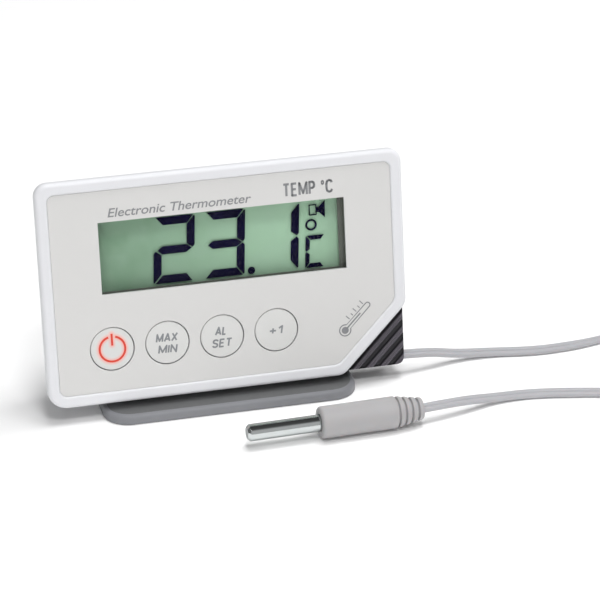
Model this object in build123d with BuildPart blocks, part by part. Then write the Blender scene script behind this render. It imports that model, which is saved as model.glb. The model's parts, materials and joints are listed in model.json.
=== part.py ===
"""Digital thermometer with a cable probe, leaning back on its fold-out stand.

Millimetres, +Z up. X runs to the right of a person facing the display, -Y is the front.
The origin lies on the table, below the middle of the housing and its stand.
"""
from build123d import *
import math
import os

os.makedirs("parts", exist_ok=True)

# ---------------------------------------------------------------- driving dimensions

# Housing, seen square to its face: "up" runs up the face, "depth" runs in from the face.
width = 109.0
height = 67.6
lean = 10.4
face_height = 38.5
face_forward = 9.0
bottom_radius = 5.8
top_radius = 4.0
corner_cut = 20.0
cut_radius = 4.5

cover_depth = 3.0
rim_width = 3.6
label_recess = 0.8
label_thickness = 0.3
label_corners = (2.2, 2.2)

shell_inset = 4.0
shell_back = 20.5
shell_draft = 7.2
shell_wall = 2.0
shell_corners = (3.0, 3.0)
skirt_corners = (2.0, 2.0)
seal_corners = (2.4, 2.4)
seal_depth = 0.8

# Display window and the parts stacked behind it.
window_width = 73.3
window_height = 21.6
window_up = 10.0
lens_margin = 2.0
lens_thickness = 1.2
lcd_width = 77.0
lcd_height = 27.0
lcd_across = -0.5
lcd_front = 5.0
lcd_thickness = 1.6
foil_thickness = 0.3
frame_wall = 1.6
mask_thickness = 0.4
mask_left = -37.6
mask_right = 35.6
mask_bottom = -1.2
mask_top = 21.6

# Keys.
key_radius = 6.4
key_gap = 0.25
key_pitch = 16.4
first_key_across = -34.7
key_up = -17.3
key_sunk = 0.35
key_crown = 0.3
key_flange_radius = 7.2
key_flange_front = 3.2
key_flange_back = 3.9
key_stem_radius = 1.6
key_stem_end = 7.4
stem_clearance = 0.25
mat_floor = 4.5
mat_back = 5.2
switch_size = 4.8
switch_height = 2.8
key_names = ["key_power", "key_max_min", "key_al_set", "key_plus"]

board_front = 9.0
board_thickness = 1.2
board_corner = (-40.8, -26.0)
board_size = (78.8, 33.5)
chip_place = (-2.0, 0.0)
chip_radius = 6.0
buzzer_place = (-32.0, 1.0)
buzzer_radius = 6.0
buzzer_height = 4.2
crystal_place = (12.0, 1.0)
capacitor_places = [(22.0, 1.5), (29.0, 1.5)]
capacitor_radius = 2.5
capacitor_height = 5.5
plug_place = (33.5, -8.0)

# Screws: thread radius in its boss, shank radius, head radius and height.
screw_thread = 1.25
screw_clear = 1.35
screw_head = 2.4
screw_sink = 2.7
screw_head_front = 12.5
screw_length = 7.5
board_thread = 0.8
board_screw_head = 1.6

# Battery, one AAA cell lying across the housing.
cell_radius = 5.25
cell_button = (1.9, 0.8)
cell_length = 43.7
cell_up = 16.5
cell_depth = 13.3
bay_half_length = 25.2
hatch_thickness = 1.8
hatch_half_length = 34.0
hatch_half_height = 8.2
hatch_screw_across = 30.3

# Fold-out stand and its hinge.
stand_width = 76.6
stand_length = 40.0
stand_thickness = 3.0
stand_corner = 8.0
hinge_up = -25.0
hinge_depth = 12.2
hinge_across = 26.5
ear_width = 6.0
ear_radius = 3.2
pocket_width = 6.6
pin_radius = 1.2
pin_length = 10.2
pin_clearance = 0.06

# Ribbed corner block with the lead's outlet.
block_gap = 0.4
block_front = 3.4
block_back = 12.5
rib_pitch = 3.1
first_groove = 1.25
groove_count = 4
groove_width = 1.4
groove_depth = 1.0
block_left = 31.7
block_top = -11.0
block_corner = 2.5
outlet_up = -31.6
outlet_depth = 6.8
outlet_size = (3.6, 2.4)
outlet_length = 8.0

# Lead and probe.
lead_diameter = 2.8
probe_radius = 2.5
probe_wall = 0.35
probe_shown = 21.8
probe_hidden = 12.0
probe_shank = 1.9
handle_radius = 4.75
handle_length = 31.2
handle_plain = 23.0
handle_start = (20.0, -40.55)
probe_turn = 2.0

# Put-away coil of lead.
coil_centre = (146.0, -21.0)
coil_inner = 12.1
coil_outer = 21.9
coil_lift = 0.4
coil_layer = 1.6
coil_height = 2 * coil_layer
tie_width = 3.0
tie_gap = 0.4

# ---------------------------------------------------------------- places

lean_sin = math.sin(math.radians(lean))
lean_cos = math.cos(math.radians(lean))
face = Plane(
    origin=(0, -face_forward, face_height),
    x_dir=(1, 0, 0),
    z_dir=(0, -lean_cos, lean_sin),
)
out_of_face = Axis(face.origin, face.z_dir)


def below(depth):
    """The plane parallel to the face, this deep inside the housing."""
    return face.offset(-depth)


def in_world(across, up, depth):
    """World position of a point given on the housing."""
    return (
        across,
        -face_forward + up * lean_sin + depth * lean_cos,
        face_height + up * lean_cos - depth * lean_sin,
    )


seal_outer = shell_inset + 0.5
seal_inner = shell_inset + 1.4
lcd_back = lcd_front + lcd_thickness
board_back = board_front + board_thickness
key_centres = [(first_key_across + key_pitch * i, key_up) for i in range(len(key_names))]
housing_screw_places = [(-44.3, 21.5), (43.6, 21.5), (-44.5, -4.5), (43.6, -4.5)]
board_screw_places = [(-36.0, -7.1), (-10.0, -7.1), (16.0, -7.1), (33.0, -14.0)]
hinge_point = in_world(0, hinge_up, hinge_depth)


def save(piece, name):
    """Label a finished piece and write its STEP file."""
    piece.part.label = name
    export_step(piece.part, f"parts/{name}.step")


def housing_outline(inset, corners, cut_corner, mode=Mode.ADD):
    """Rounded rectangle with its lower right corner cut at 45 degrees, inset all round.

    corners is the radius of the lower left corner and that of the upper two.
    """
    half_width = width / 2 - inset
    half_height = height / 2 - inset
    cut = corner_cut - inset * (2 - math.sqrt(2))
    with BuildSketch(mode=Mode.PRIVATE) as outline:
        with BuildLine():
            Polyline(
                (-half_width, -half_height),
                (half_width - cut, -half_height),
                (half_width, -half_height + cut),
                (half_width, half_height),
                (-half_width, half_height),
                close=True,
            )
        make_face()
        fillet([v for v in outline.vertices() if v.X < 0 and v.Y < 0], corners[0])
        fillet([v for v in outline.vertices() if v.Y > half_height - 0.1], corners[1])
        fillet([v for v in outline.vertices() if v.X > 0 and v.Y < 0], cut_corner)
    add(outline.sketch, mode=mode)


def slab(front, back, across, up, size_across, size_up, mode=Mode.ADD):
    """A block square to the face, between two depths."""
    with BuildSketch(below(back)) as section:
        with Locations((across, up)):
            Rectangle(size_across, size_up)
    extrude(section.sketch, amount=back - front, mode=mode)


def peg(front, back, places, radius, mode=Mode.ADD):
    """Round pegs square to the face, between two depths."""
    with BuildSketch(below(back)) as section:
        with Locations(places):
            Circle(radius)
    extrude(section.sketch, amount=back - front, mode=mode)


# ---------------------------------------------------------------- front of the housing

with BuildPart() as front_cover:
    with BuildSketch(below(cover_depth)):
        housing_outline(0, (bottom_radius, top_radius), cut_radius)
    extrude(amount=cover_depth)
    fillet(front_cover.faces().sort_by(out_of_face)[-1].edges(), 1.2)
    fillet(front_cover.faces().sort_by(out_of_face)[0].edges(), 0.7)
    with BuildSketch(below(label_recess)):
        housing_outline(rim_width, label_corners, cut_radius)
    extrude(amount=label_recess, mode=Mode.SUBTRACT)
    skirt_outer = shell_inset + shell_wall + 0.5
    with BuildSketch(below(cover_depth + 2)):
        housing_outline(skirt_outer, skirt_corners, skirt_corners[0])
        housing_outline(skirt_outer + 1.0, skirt_corners, skirt_corners[0], mode=Mode.SUBTRACT)
    extrude(amount=2)
    peg(cover_depth, cover_depth + 2.5, housing_screw_places, 3.0)
    peg(cover_depth, board_front, board_screw_places, 1.5)
    lens_depth = label_recess + lens_thickness
    slab(0, lens_depth, 0, window_up, window_width + 2 * lens_margin,
         window_height + 2 * lens_margin, mode=Mode.SUBTRACT)
    slab(0, cover_depth + 1, 0, window_up, window_width + 1, window_height + 1, mode=Mode.SUBTRACT)
    peg(0, cover_depth + 1, key_centres, key_radius + key_gap, mode=Mode.SUBTRACT)
    peg(cover_depth, cover_depth + 2.5, housing_screw_places, screw_thread, mode=Mode.SUBTRACT)
    peg(board_front - 4, board_front, board_screw_places, board_thread, mode=Mode.SUBTRACT)
save(front_cover, "front_cover")

with BuildPart() as face_label:
    with BuildSketch(below(label_recess)):
        housing_outline(rim_width, label_corners, cut_radius)
        with Locations((0, window_up)):
            Rectangle(window_width, window_height, mode=Mode.SUBTRACT)
        with Locations(key_centres):
            Circle(key_radius + key_gap, mode=Mode.SUBTRACT)
    extrude(amount=label_thickness)
save(face_label, "face_label")

with BuildPart() as window_lens:
    slab(label_recess, lens_depth, 0, window_up, window_width + 2 * lens_margin,
         window_height + 2 * lens_margin)
save(window_lens, "window_lens")

# ---------------------------------------------------------------- display

frame_outer_width = lcd_width + 2 * frame_wall
frame_outer_height = lcd_height + 2 * frame_wall
with BuildPart() as lcd_frame:
    slab(cover_depth, lcd_back + foil_thickness, lcd_across, window_up,
         frame_outer_width, frame_outer_height)
    slab(cover_depth, lcd_front - mask_thickness, lcd_across, window_up,
         lcd_width - 2, lcd_height - 3, mode=Mode.SUBTRACT)
    slab(lcd_front, lcd_back + foil_thickness, lcd_across, window_up,
         lcd_width, lcd_height, mode=Mode.SUBTRACT)
    slab(cover_depth, lcd_back, (mask_left + mask_right) / 2, (mask_bottom + mask_top) / 2,
         mask_right - mask_left, mask_top - mask_bottom, mode=Mode.SUBTRACT)
save(lcd_frame, "lcd_frame")

with BuildPart() as lcd_glass:
    slab(lcd_front, lcd_back, lcd_across, window_up, lcd_width, lcd_height)
save(lcd_glass, "lcd_glass")

contact_strip = 3.0
with BuildPart() as lcd_reflector:
    slab(lcd_back, lcd_back + foil_thickness, lcd_across, window_up + contact_strip / 2,
         lcd_width - 1, lcd_height - contact_strip - 1)
save(lcd_reflector, "lcd_reflector")

with BuildPart() as contact_rubber:
    slab(lcd_back, board_front, lcd_across, window_up - lcd_height / 2 + 1.4, 68, 1.8)
save(contact_rubber, "contact_rubber")

# ---------------------------------------------------------------- keys

for (across, up), name in zip(key_centres, key_names):
    key_section = Plane(
        origin=in_world(across, up, 0),
        x_dir=(1, 0, 0),
        z_dir=(0, -lean_sin, -lean_cos),
    )
    with BuildPart() as key:
        with BuildSketch(key_section):
            with BuildLine():
                crown_end = -key_sunk - key_crown
                crown = ThreePointArc(
                    (0, -key_sunk),
                    (key_radius / 2, -key_sunk - key_crown / 4),
                    (key_radius, crown_end),
                )
                Polyline(
                    crown @ 1,
                    (key_radius, -key_flange_front),
                    (key_flange_radius, -key_flange_front),
                    (key_flange_radius, -key_flange_back),
                    (key_stem_radius, -key_flange_back),
                    (key_stem_radius, -key_stem_end),
                    (0, -key_stem_end),
                    crown @ 0,
                )
            make_face()
        revolve(axis=Axis(key_section.origin, face.z_dir))
    save(key, name)

with BuildPart() as key_mat:
    mat_length = key_pitch * (len(key_names) - 1) + 2 * key_flange_radius + 2.4
    mat_height = 2 * key_flange_radius + 2.4
    mat_across = (key_centres[0][0] + key_centres[-1][0]) / 2
    slab(cover_depth, mat_back, mat_across, key_up, mat_length, mat_height)
    slab(cover_depth, mat_floor, mat_across, key_up, mat_length - 1.9, mat_height - 1.9,
         mode=Mode.SUBTRACT)
    peg(mat_floor, mat_back, key_centres, key_stem_radius + stem_clearance, mode=Mode.SUBTRACT)
save(key_mat, "key_mat")

with BuildPart() as key_switches:
    with BuildSketch(below(board_front)):
        with Locations(key_centres):
            Rectangle(switch_size, switch_size)
    extrude(amount=switch_height)
    peg(board_front - switch_height, key_stem_end + 0.8, key_centres,
        key_stem_radius + stem_clearance, mode=Mode.SUBTRACT)
save(key_switches, "key_switches")

# ---------------------------------------------------------------- circuit board

with BuildPart() as circuit_board:
    with BuildSketch(below(board_back)):
        with Locations(board_corner):
            Rectangle(*board_size, align=(Align.MIN, Align.MIN))
        with Locations((-hinge_across, board_corner[1])):
            Rectangle(11.6, 13.0, mode=Mode.SUBTRACT)
        with Locations((20.7, -30.0)):
            Rectangle(20, 10.5, align=(Align.MIN, Align.MIN), mode=Mode.SUBTRACT)
        with Locations(board_screw_places):
            Circle(1.0, mode=Mode.SUBTRACT)
    extrude(amount=board_thickness)
save(circuit_board, "circuit_board")

with BuildPart() as controller_chip:
    with BuildSketch(below(board_back)):
        with Locations(chip_place):
            Circle(chip_radius)
    extrude(amount=-1.6)
    fillet(controller_chip.faces().sort_by(out_of_face)[0].edges(), 1.4)
save(controller_chip, "controller_chip")

with BuildPart() as buzzer:
    buzzer_back = board_back + buzzer_height
    peg(board_back, buzzer_back, [buzzer_place], buzzer_radius)
    peg(buzzer_back - 0.8, buzzer_back, [buzzer_place], 1.0, mode=Mode.SUBTRACT)
save(buzzer, "buzzer")

with BuildPart() as crystal_can:
    with BuildSketch(below(board_back)):
        with Locations(crystal_place):
            SlotOverall(8.0, 3.2)
    extrude(amount=-2.4)
save(crystal_can, "crystal_can")

with BuildPart() as capacitors:
    peg(board_back, board_back + capacitor_height, capacitor_places, capacitor_radius)
save(capacitors, "capacitors")

with BuildPart() as lead_plug:
    slab(board_back, board_back + 3.2, *plug_place, 6.0, 5.0)
save(lead_plug, "lead_plug")

# ---------------------------------------------------------------- rear shell

shell_taper = math.tan(math.radians(shell_draft))
inner_back = shell_back - shell_wall

with BuildPart() as shell_form:
    with BuildSketch(below(cover_depth)):
        housing_outline(shell_inset, shell_corners, 2.5)
    extrude(amount=-(shell_back - cover_depth), taper=shell_draft)
    fillet(shell_form.faces().sort_by(out_of_face)[0].edges(), 1.6)

pocket_front = hinge_depth - 4.5
pocket_top = hinge_up + 4.1
bay_front = lcd_back + foil_thickness + 0.05
with BuildPart() as shell_blocks:
    for side in (-1, 1):
        slab(pocket_front - 1.2, shell_back, side * hinge_across, pocket_top + 1.2 - 10,
             pocket_width + 4.4, 20)
    slab(bay_front, shell_back, 0, cell_up, 2 * hatch_half_length + 1.0, 2 * hatch_half_height)
    peg(cover_depth + 2.5, shell_back, housing_screw_places, 3.6)
    add(shell_form.part, mode=Mode.INTERSECT)

with BuildPart() as rear_shell:
    add(shell_form.part)
    with BuildSketch(below(cover_depth)):
        housing_outline(shell_inset + shell_wall, skirt_corners, skirt_corners[0])
    extrude(amount=-(inner_back - cover_depth), taper=shell_draft, mode=Mode.SUBTRACT)
    add(shell_blocks.part)
    with BuildSketch(below(cover_depth)):
        housing_outline(seal_outer, seal_corners, seal_corners[0])
        housing_outline(seal_inner, skirt_corners, skirt_corners[0], mode=Mode.SUBTRACT)
    extrude(amount=-seal_depth, mode=Mode.SUBTRACT)
    for side in (-1, 1):
        slab(pocket_front, shell_back + 1, side * hinge_across, pocket_top - 10,
             pocket_width, 20, mode=Mode.SUBTRACT)
    for side in (-1, 1):
        with BuildSketch(Plane.YZ.offset(side * hinge_across)):
            with Locations((hinge_point[1], hinge_point[2])):
                Circle(pin_radius)
        extrude(amount=pin_length / 2, both=True, mode=Mode.SUBTRACT)
    hatch_front = shell_back - hatch_thickness
    slab(lcd_back + 1.2, shell_back, 0, cell_up, 2 * bay_half_length, 2 * cell_radius + 0.7,
         mode=Mode.SUBTRACT)
    slab(hatch_front, shell_back, 0, cell_up, 2 * hatch_half_length, 2 * hatch_half_height - 0.2,
         mode=Mode.SUBTRACT)
    with BuildSketch(below(hatch_front)):
        with Locations((0, cell_up)):
            Rectangle(2 * bay_half_length + 3.4, 2 * cell_radius + 3.3)
            Rectangle(2 * bay_half_length + 1.4, 2 * cell_radius + 1.5, mode=Mode.SUBTRACT)
    extrude(amount=0.7, mode=Mode.SUBTRACT)
    peg(cover_depth, shell_back, housing_screw_places, screw_clear, mode=Mode.SUBTRACT)
    peg(screw_head_front, shell_back, housing_screw_places, screw_sink, mode=Mode.SUBTRACT)
    hatch_screw_places = [(-hatch_screw_across, cell_up), (hatch_screw_across, cell_up)]
    peg(hatch_front - 6, hatch_front, hatch_screw_places, 1.2, mode=Mode.SUBTRACT)
save(rear_shell, "rear_shell")

with BuildPart() as housing_seal:
    with BuildSketch(below(cover_depth + seal_depth)):
        housing_outline(seal_outer, seal_corners, seal_corners[0])
        housing_outline(seal_inner, skirt_corners, skirt_corners[0], mode=Mode.SUBTRACT)
    extrude(amount=seal_depth)
save(housing_seal, "housing_seal")

with BuildPart() as housing_screws:
    peg(screw_head_front - screw_length, screw_head_front, housing_screw_places, screw_thread)
    peg(screw_head_front, screw_head_front + 1.8, housing_screw_places, screw_head)
    peg(screw_head_front + 1.0, screw_head_front + 1.8, housing_screw_places, 0.9,
        mode=Mode.SUBTRACT)
save(housing_screws, "housing_screws")

with BuildPart() as board_screws:
    peg(board_front - 3.6, board_back, board_screw_places, board_thread)
    peg(board_back, board_back + 1.1, board_screw_places, board_screw_head)
save(board_screws, "board_screws")

# ---------------------------------------------------------------- battery

with BuildPart() as battery_cell:
    cell_start = in_world(-bay_half_length + 5.0, cell_up, cell_depth)
    with BuildSketch(Plane(origin=cell_start, x_dir=(0, 1, 0), z_dir=(1, 0, 0))):
        Circle(cell_radius)
    extrude(amount=cell_length)
    with BuildSketch(Plane(origin=cell_start, x_dir=(0, 1, 0), z_dir=(1, 0, 0)).offset(cell_length)):
        Circle(cell_button[0])
    extrude(amount=cell_button[1])
save(battery_cell, "battery_cell")

with BuildPart() as battery_contacts:
    leaf = 0.4
    with BuildSketch(below(cell_depth + 4)):
        with BuildLine():
            Polyline(
                (-bay_half_length, cell_up - 4),
                (-bay_half_length + leaf, cell_up - 4),
                (-bay_half_length + 4.9, cell_up),
                (-bay_half_length + leaf, cell_up + 4),
                (-bay_half_length, cell_up + 4),
                (-bay_half_length + 4.2, cell_up),
                close=True,
            )
        make_face()
        with Locations((bay_half_length - 0.3, cell_up)):
            Rectangle(0.6, 8)
    extrude(amount=8)
save(battery_contacts, "battery_contacts")

with BuildPart() as battery_hatch:
    slab(hatch_front, shell_back, 0, cell_up, 2 * hatch_half_length - 0.3,
         2 * hatch_half_height - 0.5)
    fillet(battery_hatch.edges().filter_by(out_of_face), 1.5)
    chamfer(battery_hatch.faces().sort_by(out_of_face)[0].edges(), 0.3)
    peg(hatch_front, shell_back, hatch_screw_places, 1.4, mode=Mode.SUBTRACT)
    peg(shell_back - 1.1, shell_back, hatch_screw_places, 2.4, mode=Mode.SUBTRACT)
    with BuildSketch(below(shell_back)):
        with GridLocations(2.0, 1, 7, 1):
            with Locations((0, cell_up)):
                Rectangle(0.9, 9)
    extrude(amount=0.4, mode=Mode.SUBTRACT)
save(battery_hatch, "battery_hatch")

with BuildPart() as hatch_seal:
    with BuildSketch(below(hatch_front)):
        with Locations((0, cell_up)):
            Rectangle(2 * bay_half_length + 3.4, 2 * cell_radius + 3.3)
            Rectangle(2 * bay_half_length + 1.4, 2 * cell_radius + 1.5, mode=Mode.SUBTRACT)
    extrude(amount=0.7)
save(hatch_seal, "hatch_seal")

with BuildPart() as hatch_screws:
    peg(hatch_front - 5.5, shell_back - 1.1, hatch_screw_places, 1.2)
    peg(shell_back - 1.1, shell_back - 0.1, hatch_screw_places, 2.2)
    with BuildSketch(below(shell_back)):
        with Locations(hatch_screw_places):
            Rectangle(3.2, 0.6)
            Rectangle(0.6, 3.2)
    extrude(amount=0.7, mode=Mode.SUBTRACT)
save(hatch_screws, "hatch_screws")

# ---------------------------------------------------------------- stand

with BuildPart() as stand:
    with BuildSketch():
        RectangleRounded(stand_width, stand_length, stand_corner)
    extrude(amount=stand_thickness)
    fillet(stand.faces().sort_by(Axis.Z)[-1].edges(), 1.2)
    fillet(stand.faces().sort_by(Axis.Z)[0].edges(), 0.5)
    for side in (-1, 1):
        with BuildSketch(Plane.YZ.offset(side * hinge_across)):
            with Locations((hinge_point[1], hinge_point[2])):
                Circle(ear_radius)
            with BuildLine():
                Polyline(
                    (hinge_point[1] - ear_radius, hinge_point[2]),
                    (hinge_point[1] + ear_radius, hinge_point[2]),
                    (hinge_point[1] + ear_radius + 0.6, stand_thickness - 0.5),
                    (hinge_point[1] - ear_radius - 0.6, stand_thickness - 0.5),
                    close=True,
                )
            make_face()
        extrude(amount=ear_width / 2, both=True)
    with BuildSketch(Plane.YZ):
        with Locations((hinge_point[1], hinge_point[2])):
            Circle(pin_radius + pin_clearance)
    extrude(amount=stand_width / 2, both=True, mode=Mode.SUBTRACT)
save(stand, "stand")

with BuildPart() as hinge_pins:
    for side in (-1, 1):
        with BuildSketch(Plane.YZ.offset(side * hinge_across)):
            with Locations((hinge_point[1], hinge_point[2])):
                Circle(pin_radius)
        extrude(amount=pin_length / 2, both=True)
save(hinge_pins, "hinge_pins")

# ---------------------------------------------------------------- ribbed corner block

block_right = width / 2 - block_gap
block_bottom = -height / 2 + block_gap
cut_middle = (width / 2 - corner_cut / 2, -height / 2 + corner_cut / 2)
groove_steps = [first_groove + rib_pitch * i for i in range(groove_count)]
diagonal = math.sqrt(0.5)

with BuildPart() as corner_block:
    with BuildSketch(below(block_back)) as block_plan:
        with BuildLine():
            Polyline(
                (block_right, block_bottom),
                (block_right, block_top),
                (block_right - 6, block_top),
                (block_left, block_bottom + 6),
                (block_left, block_bottom),
                close=True,
            )
        make_face()
        fillet(block_plan.vertices().sort_by(Axis.X)[-2:].sort_by(Axis.Y)[0], block_corner)
    extrude(amount=block_back - block_front)
    fillet(corner_block.faces().sort_by(out_of_face)[-1].edges(), 0.4)
    with BuildSketch(below(block_front)):
        with Locations([
            Location((cut_middle[0] + step * diagonal, cut_middle[1] - step * diagonal, 0), (0, 0, 45))
            for step in groove_steps
        ]):
            Rectangle(60, groove_width)
    extrude(amount=-groove_depth, mode=Mode.SUBTRACT)
    add(shell_form.part, mode=Mode.SUBTRACT)
    outlet_centre = in_world(block_right, outlet_up, outlet_depth)
    outlet = Plane(origin=outlet_centre, x_dir=(0, lean_cos, -lean_sin), z_dir=(1, 0, 0))
    with BuildSketch(outlet):
        SlotOverall(*outlet_size)
    extrude(amount=-outlet_length, mode=Mode.SUBTRACT)
save(corner_block, "corner_block")

with BuildPart() as lead_grommet:
    with BuildSketch(outlet):
        SlotOverall(*outlet_size)
    extrude(amount=-outlet_length)
save(lead_grommet, "lead_grommet")

# ---------------------------------------------------------------- probe

probe_angle = math.radians(probe_turn)
probe = Plane(
    origin=(handle_start[0], handle_start[1], handle_radius),
    x_dir=(math.cos(probe_angle), math.sin(probe_angle), 0),
    z_dir=(0, 0, 1),
)
probe_axis = Axis(probe.origin, probe.x_dir)
rib_count = 4
rib_length = (handle_length - handle_plain) / rib_count

with BuildPart() as probe_handle:
    with BuildSketch(probe):
        with BuildLine():
            shoulder = Polyline(
                (0, 0), (0, handle_radius - 1.0), (1.0, handle_radius), (handle_plain, handle_radius)
            )
            edge = shoulder @ 1
            for i in range(rib_count):
                start = handle_plain + i * rib_length
                crest = handle_radius - 0.25 - 0.38 * i
                rib = Polyline(
                    edge,
                    (start, crest - 0.6),
                    (start + 0.55, crest - 0.6),
                    (start + 0.75, crest),
                    (start + rib_length, crest - 0.1),
                )
                edge = rib @ 1
            Polyline(edge, (handle_length, 0), (0, 0))
        make_face()
    revolve(axis=probe_axis)
    with BuildSketch(Plane(origin=probe.origin, x_dir=(0, 0, 1), z_dir=probe.x_dir)):
        Circle(probe_shank)
    extrude(amount=probe_hidden, mode=Mode.SUBTRACT)
save(probe_handle, "probe_handle")

with BuildPart() as probe_tube:
    with BuildSketch(probe):
        with BuildLine():
            Polyline(
                (probe_hidden, 0),
                (probe_hidden, probe_shank),
                (0, probe_shank),
                (0, probe_radius),
                (-probe_shown + 0.6, probe_radius),
                (-probe_shown, probe_radius - 0.8),
                (-probe_shown, 0),
                close=True,
            )
        make_face()
        with Locations((-probe_shown + 0.6, 0)):
            Rectangle(probe_hidden + probe_shown, probe_shank - probe_wall,
                      align=(Align.MIN, Align.MIN), mode=Mode.SUBTRACT)
    revolve(axis=probe_axis)
save(probe_tube, "probe_tube")

bead_start = -probe_shown + 1.2
with BuildPart() as thermistor:
    with BuildSketch(probe):
        with BuildLine():
            bead = ThreePointArc((bead_start, 0), (bead_start + 1.5, 1.5), (bead_start + 3.0, 0))
            Line(bead @ 1, bead @ 0)
        make_face()
    revolve(axis=probe_axis)
save(thermistor, "thermistor")

# ---------------------------------------------------------------- lead

lead_radius = lead_diameter / 2
handle_end = probe.from_local_coords((handle_length, 0, 0))
coil_exit = coil_lift + coil_height / 2 + 0.2

out_route = [
    outlet_centre,
    (63.0, -7.4, 5.0),
    (72.0, -5.6, 2.6),
    (84.0, -5.5, lead_radius),
    (97.0, -8.4, lead_radius),
    (110.0, -7.6, lead_radius),
    (122.0, -4.6, lead_radius),
    (134.0, -0.9, lead_radius),
    (coil_centre[0], coil_centre[1] + coil_outer, coil_lift + lead_radius),
]
return_route = [
    (coil_centre[0], coil_centre[1] - coil_outer, coil_exit),
    (134.0, -42.4, 2.0),
    (122.0, -40.4, 1.5),
    (110.0, -37.6, lead_radius),
    (98.0, -34.6, lead_radius),
    (86.0, -32.4, lead_radius),
    (75.0, -33.2, 2.3),
    (64.5, -37.0, 4.3),
    (handle_end.X, handle_end.Y, handle_end.Z),
]


def bend_radii(route):
    """The largest arc that each corner's two runs allow."""
    points = [Vector(*point) for point in route]
    radii = []
    for before, corner, after in zip(points, points[1:], points[2:]):
        arriving = corner - before
        leaving = after - corner
        half_turn = math.radians(arriving.get_angle(leaving)) / 2
        radii.append(0.45 * min(arriving.length, leaving.length) / math.tan(half_turn))
    return radii


for name, route in (("lead_out", out_route), ("lead_return", return_route)):
    radii = bend_radii(route)
    print(name, "radii", [round(radius, 1) for radius in radii])
    with BuildPart() as lead:
        with BuildLine() as path:
            FilletPolyline(*route, radius=radii)
        wire = path.wires()[0]
        with BuildSketch(Plane(origin=wire @ 0, z_dir=wire % 0)):
            Circle(lead_radius)
        sweep()
    length = wire.length
    section = math.pi * lead_radius ** 2
    print(name, "length", round(length, 1), "volume ratio", round(lead.part.volume / section / length, 4))
    save(lead, name)

with BuildPart() as lead_coil:
    with BuildSketch(Plane.XY.offset(coil_lift)):
        with Locations(coil_centre):
            Circle(coil_outer + lead_radius)
            Circle(coil_inner - lead_radius, mode=Mode.SUBTRACT)
    extrude(amount=coil_height)
    fillet(lead_coil.edges().filter_by(GeomType.CIRCLE), 1.0)
save(lead_coil, "lead_coil")

with BuildPart() as coil_tie:
    tie_middle = (coil_inner + coil_outer) / 2
    tie_across = coil_outer - coil_inner + lead_diameter
    with BuildSketch(Plane.XZ.offset(-coil_centre[1] - tie_width / 2)):
        with Locations((coil_centre[0] + tie_middle, coil_lift + coil_height / 2)):
            RectangleRounded(tie_across + 2 * tie_gap, coil_height + 2 * tie_gap, 1.2)
            RectangleRounded(tie_across, coil_height, 1.0, mode=Mode.SUBTRACT)
    extrude(amount=tie_width)
save(coil_tie, "coil_tie")
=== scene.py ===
"""Looks of the digital probe thermometer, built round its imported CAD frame.

Lengths are millimetres until a piece is made. On the housing a point is (across, up, out):
"out" is the height above the face, so what lies inside the housing has a negative one.
"""
import json
import math

import bmesh
import bpy
from mathutils import Matrix, Vector


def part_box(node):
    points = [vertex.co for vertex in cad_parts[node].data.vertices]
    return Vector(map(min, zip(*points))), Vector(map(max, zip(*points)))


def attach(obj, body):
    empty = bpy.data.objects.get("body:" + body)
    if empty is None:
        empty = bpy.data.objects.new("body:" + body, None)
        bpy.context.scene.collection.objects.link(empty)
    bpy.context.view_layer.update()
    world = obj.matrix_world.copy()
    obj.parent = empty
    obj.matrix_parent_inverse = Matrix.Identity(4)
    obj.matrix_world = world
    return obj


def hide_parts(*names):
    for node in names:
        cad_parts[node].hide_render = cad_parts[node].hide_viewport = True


MM = 0.001
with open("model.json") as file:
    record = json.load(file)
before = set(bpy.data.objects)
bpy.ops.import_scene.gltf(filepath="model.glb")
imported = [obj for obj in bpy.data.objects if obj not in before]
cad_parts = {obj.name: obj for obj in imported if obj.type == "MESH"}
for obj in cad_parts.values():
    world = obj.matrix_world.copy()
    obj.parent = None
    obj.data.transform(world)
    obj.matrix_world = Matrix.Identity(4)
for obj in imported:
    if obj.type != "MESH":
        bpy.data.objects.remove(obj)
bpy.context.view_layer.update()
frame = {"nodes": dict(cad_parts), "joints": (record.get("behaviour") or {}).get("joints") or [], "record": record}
joints = {joint["name"]: joint for joint in frame["joints"]}
mounts = {mount["name"]: mount for mount in frame["record"]["mounts"]}

# ---------------------------------------------------------------- places, from the frame

WORLD = Matrix.Scale(MM, 4)


def reach(node, direction):
    """Lowest and highest reach of a CAD node along a direction."""
    heights = [vertex.co.dot(direction) / MM for vertex in frame["nodes"][node].data.vertices]
    return min(heights), max(heights)


def placed(origin, x_axis, y_axis, z_axis):
    """The matrix from a frame of its own, in millimetres, to the row frame."""
    turned = Matrix((x_axis, y_axis, z_axis)).transposed().to_4x4()
    return Matrix.Translation(origin * MM) @ turned @ Matrix.Scale(MM, 4)


right = Vector((1, 0, 0))
inward = Vector(joints["power_key_press"]["axis"]).normalized()
outward = -inward
upward = right.cross(inward)
cover_bottom, cover_top = reach("front_cover", upward)
cover_left, cover_right = reach("front_cover", right)
face_out = reach("front_cover", outward)[1]
face_up = (cover_bottom + cover_top) / 2
HOUSING = placed(upward * face_up + outward * face_out, right, upward, outward)


def extent(node):
    """A CAD node's lowest and highest corner on the housing, as (across, up, out)."""
    pairs = [reach(node, right), reach(node, upward), reach(node, outward)]
    offsets = (0, face_up, face_out)
    low, high = (Vector(pair[i] - offset for pair, offset in zip(pairs, offsets)) for i in (0, 1))
    return low, high


along = -Vector(mounts["probe_stem"]["axis"]).normalized()
aside = Vector((0, 0, 1)).cross(along)
handle_start, handle_end = reach("probe_handle", along)
handle_near, handle_far = reach("probe_handle", aside)
handle_radius = (handle_far - handle_near) / 2
PROBE = placed(along * handle_start + aside * (handle_near + handle_radius)
               + Vector((0, 0, handle_radius)), along, aside, Vector((0, 0, 1)))
handle_length = handle_end - handle_start

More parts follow.
